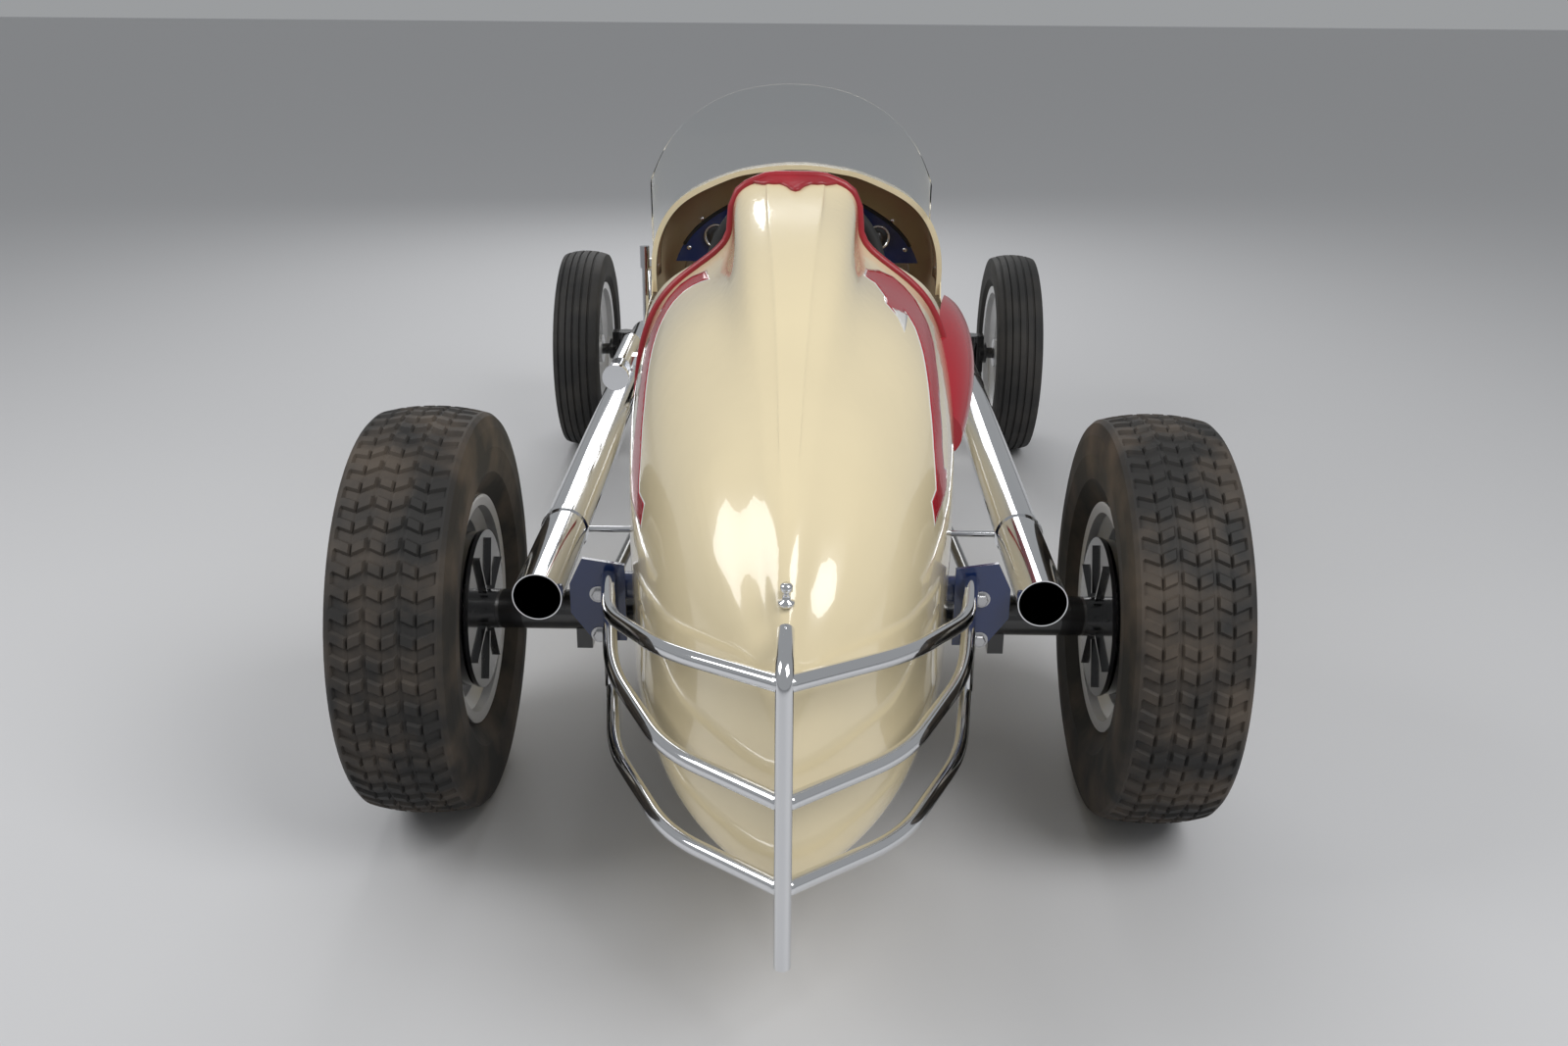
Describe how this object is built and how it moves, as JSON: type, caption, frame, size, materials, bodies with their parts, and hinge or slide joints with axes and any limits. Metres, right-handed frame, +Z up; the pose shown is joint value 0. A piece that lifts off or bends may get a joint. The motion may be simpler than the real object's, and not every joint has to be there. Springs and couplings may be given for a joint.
{
  "type": "open-wheel sprint car",
  "caption": "Open-wheel sprint car of the 1950s with a cream boat tail, side exhaust pipes, chrome tube bumpers and steered front wheels.",
  "frame": {"origin": "on the ground under the middle of the overall box", "axes": "+Z up, the nose faces -Y, the left side of the car is +X"},
  "size_m": [1.572, 3.545, 1.2839],
  "materials": {
    "cream": "gloss",
    "red_paint": "gloss",
    "red_leather": "satin",
    "blue_paint": "gloss",
    "black_paint": "gloss",
    "chrome": "polished",
    "wheel_silver": "satin",
    "tyre_rubber": "matte",
    "clear_acrylic": "polished",
    "aluminium_sheet": "satin",
    "engine_iron": "satin",
    "wheel_grip": "matte"
  },
  "bodies": {
    "chassis": {"belly_pan": "cream", "bumper_centre_tube": "chrome", "bumper_left": "chrome", "bumper_right": "chrome", "cockpit_side_left": "cream", "cockpit_side_right": "cream", "cowl": "cream", "dashboard": "blue_paint", "elbow_fairing": "red_paint", "engine_block": "engine_iron", "exhaust_left": "chrome", "exhaust_right": "chrome", "firewall": "aluminium_sheet", "frame_cross_tubes": "blue_paint", "frame_rail_left": "blue_paint", "frame_rail_right": "blue_paint", "front_axle": "black_paint", "front_bumper_bar": "chrome", "front_radius_rods": "black_paint", "front_torsion_arms": "black_paint", "fuel_pump": "chrome", "grille": "chrome", "hand_lever": "chrome", "headrest_pad": "red_leather", "hood_sides": "cream", "hood_top": "cream", "nose": "cream", "rear_axle": "black_paint", "rear_plates": "blue_paint", "rear_radius_rods": "black_paint", "seat_back": "red_leather", "seat_cushion": "red_leather", "steering_column": "black_paint", "tail_shell": "cream", "windscreen": "clear_acrylic"},
    "rear_left_wheel": {"rear_tyre_left": "tyre_rubber", "rear_wheel_left": "wheel_silver", "rear_drum_left": "black_paint"},
    "rear_right_wheel": {"rear_tyre_right": "tyre_rubber", "rear_wheel_right": "wheel_silver", "rear_drum_right": "black_paint"},
    "front_left_wheel": {"front_tyre_left": "tyre_rubber", "front_wheel_left": "wheel_silver"},
    "front_right_wheel": {"front_tyre_right": "tyre_rubber", "front_wheel_right": "wheel_silver"},
    "left_knuckle": {"knuckle_left": "black_paint"},
    "right_knuckle": {"knuckle_right": "black_paint"},
    "track_rod": {"tie_rod": "chrome"},
    "steering_link": {"drag_link": "chrome"},
    "pitman": {"pitman_arm": "chrome"},
    "hand_wheel": {"steering_wheel": "wheel_grip"}
  },
  "joints": [
    {"name": "rear_left_spin", "type": "hinge", "parent": "chassis", "child": "rear_left_wheel", "pos_m": [0.678, 0.9445, 0.388], "axis": [1, 0, 0], "continuous": true},
    {"name": "rear_right_spin", "type": "hinge", "parent": "chassis", "child": "rear_right_wheel", "pos_m": [-0.678, 0.9445, 0.388], "axis": [1, 0, 0], "continuous": true},
    {"name": "steering", "type": "hinge", "parent": "chassis", "child": "hand_wheel", "pos_m": [0, 0.3045, 0.905], "axis": [0, 0.9397, 0.342], "range_deg": [-160, 160]},
    {"name": "steer_left", "type": "hinge", "parent": "chassis", "child": "left_knuckle", "pos_m": [0.575, -1.2125, 0.322], "axis": [0, 0, 1], "range_deg": [-20, 20]},
    {"name": "steer_right", "type": "hinge", "parent": "chassis", "child": "right_knuckle", "pos_m": [-0.575, -1.2125, 0.322], "axis": [0, 0, 1], "range_deg": [-20, 20]},
    {"name": "track_rod_pivot", "type": "hinge", "parent": "left_knuckle", "child": "track_rod", "pos_m": [0.575, -1.0825, 0.249], "axis": [0, 0, 1], "range_deg": [-20, 20]},
    {"name": "pitman_swing", "type": "hinge", "parent": "chassis", "child": "pitman", "pos_m": [0.352, -0.1555, 0.73757], "axis": [1, 0, 0], "range_deg": [-20, 20]},
    {"name": "steering_link_pivot", "type": "hinge", "parent": "pitman", "child": "steering_link", "pos_m": [0.375, -0.1555, 0.82757], "axis": [1, 0, 0], "range_deg": [-20, 20]},
    {"name": "front_left_spin", "type": "hinge", "parent": "left_knuckle", "child": "front_left_wheel", "pos_m": [0.7, -1.2125, 0.322], "axis": [1, 0, 0], "continuous": true},
    {"name": "front_right_spin", "type": "hinge", "parent": "right_knuckle", "child": "front_right_wheel", "pos_m": [-0.7, -1.2125, 0.322], "axis": [1, 0, 0], "continuous": true}
  ],
  "couplings": [
    {"joint": "steer_left", "follows": "steering", "ratio": 0.125},
    {"joint": "steer_right", "follows": "steering", "ratio": 0.125},
    {"joint": "track_rod_pivot", "follows": "steering", "ratio": -0.125},
    {"joint": "pitman_swing", "follows": "steering", "ratio": 0.125},
    {"joint": "steering_link_pivot", "follows": "steering", "ratio": -0.125}
  ]
}
